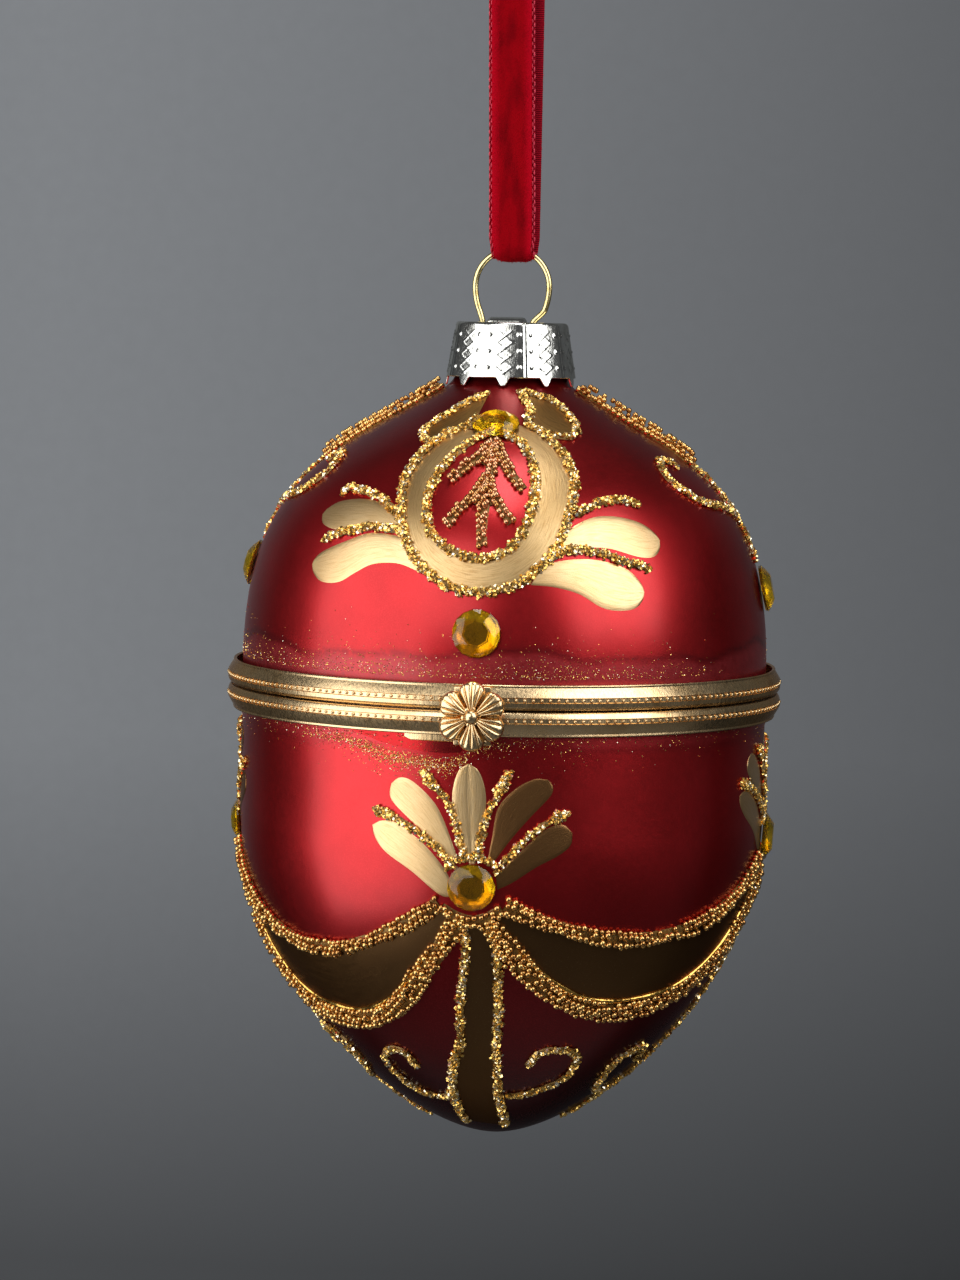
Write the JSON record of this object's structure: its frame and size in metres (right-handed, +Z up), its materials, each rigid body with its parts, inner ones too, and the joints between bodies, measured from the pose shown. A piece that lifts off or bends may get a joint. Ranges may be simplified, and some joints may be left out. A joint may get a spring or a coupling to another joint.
{
  "type": "egg christmas ornament",
  "caption": "Hinged glass egg ornament with brass bands, flower clasp, stones and beaded trim, on a wire ring and a doubled velvet ribbon.",
  "frame": {"origin": "the hanging point: between the ribbon's two strands, 2 mm under the knot", "axes": "+Z up along the egg's axis, which passes 0.8 mm beside the origin; -Y is the front, with the clasp; the rear hinge is at +Y"},
  "size_m": [0.0765, 0.0817, 0.1812],
  "materials": {
    "velvet": "velvet pile",
    "wire": "bright drawn",
    "cap_metal": "stamped and bright",
    "lacquered_glass": "satin lacquer over silvered glass",
    "brass": "satin, rubbed",
    "stone": "faceted and clear",
    "gold_glitter": "glitter in clear glue",
    "beads": "metallic micro-beads in glue"
  },
  "bodies": {
    "ribbon": {"ribbon": "velvet", "ribbon_knot": "velvet", "ribbon_tail_front": "velvet", "ribbon_tail_rear": "velvet"},
    "hanger": {"hanger_wire": "wire"},
    "upper_half": {"cap": "cap_metal", "upper_shell": "lacquered_glass", "upper_bezel": "brass", "hinge_leaf_upper": "brass", "hinge_pin": "brass", "clasp_mount": "brass", "gem_medallion_front": "stone", "gem_medallion_back": "stone", "gem_upper_front": "stone", "gem_upper_right": "stone", "gem_upper_back": "stone", "gem_upper_left": "stone", "medallion_rim_front": "gold_glitter", "medallion_rim_back": "gold_glitter", "medallion_ring_front": "gold_glitter", "medallion_ring_back": "gold_glitter", "leaf_front_left": "gold_glitter", "leaf_front_right": "gold_glitter", "leaf_back_left": "gold_glitter", "leaf_back_right": "gold_glitter", "side_strip_left": "beads", "side_strip_right": "beads", "sprig_front": "beads", "sprig_back": "beads", "side_line_left": "gold_glitter", "side_line_right": "gold_glitter"},
    "clasp": {"clasp_tongue": "brass", "clasp_flower": "brass"},
    "lower_half": {"lower_shell": "lacquered_glass", "lower_bezel": "brass", "hinge_leaf_lower": "brass", "catch_plate": "brass", "gem_lower_front": "stone", "gem_lower_right": "stone", "gem_lower_back": "stone", "gem_lower_left": "stone", "swag_front_right": "beads", "swag_back_right": "beads", "swag_back_left": "beads", "swag_front_left": "beads", "stripe_front": "gold_glitter", "stripe_right": "gold_glitter", "stripe_back": "gold_glitter", "stripe_left": "gold_glitter", "fan_front": "gold_glitter", "fan_right": "gold_glitter", "fan_back": "gold_glitter", "fan_left": "gold_glitter"}
  },
  "joints": [
    {"name": "ribbon_swing", "type": "hinge", "parent": "ribbon", "child": "hanger", "pos_m": [0.00079, 0, -0.03855], "axis": [1, 0, 0], "range_deg": [-45, 45]},
    {"name": "cap_rock", "type": "hinge", "parent": "hanger", "child": "upper_half", "pos_m": [0.00079, 0, -0.0482], "axis": [1, 0, 0], "range_deg": [-10, 10]},
    {"name": "clasp_flex", "type": "hinge", "parent": "upper_half", "child": "clasp", "pos_m": [0.00079, -0.03855, -0.0964], "axis": [-1, 0, 0], "range_deg": [0, 4], "stiffness_Nm_per_rad": 0.2},
    {"name": "egg_hinge", "type": "hinge", "parent": "upper_half", "child": "lower_half", "pos_m": [0.00079, 0.03985, -0.09805], "axis": [1, 0, 0], "range_deg": [0, 95]}
  ]
}
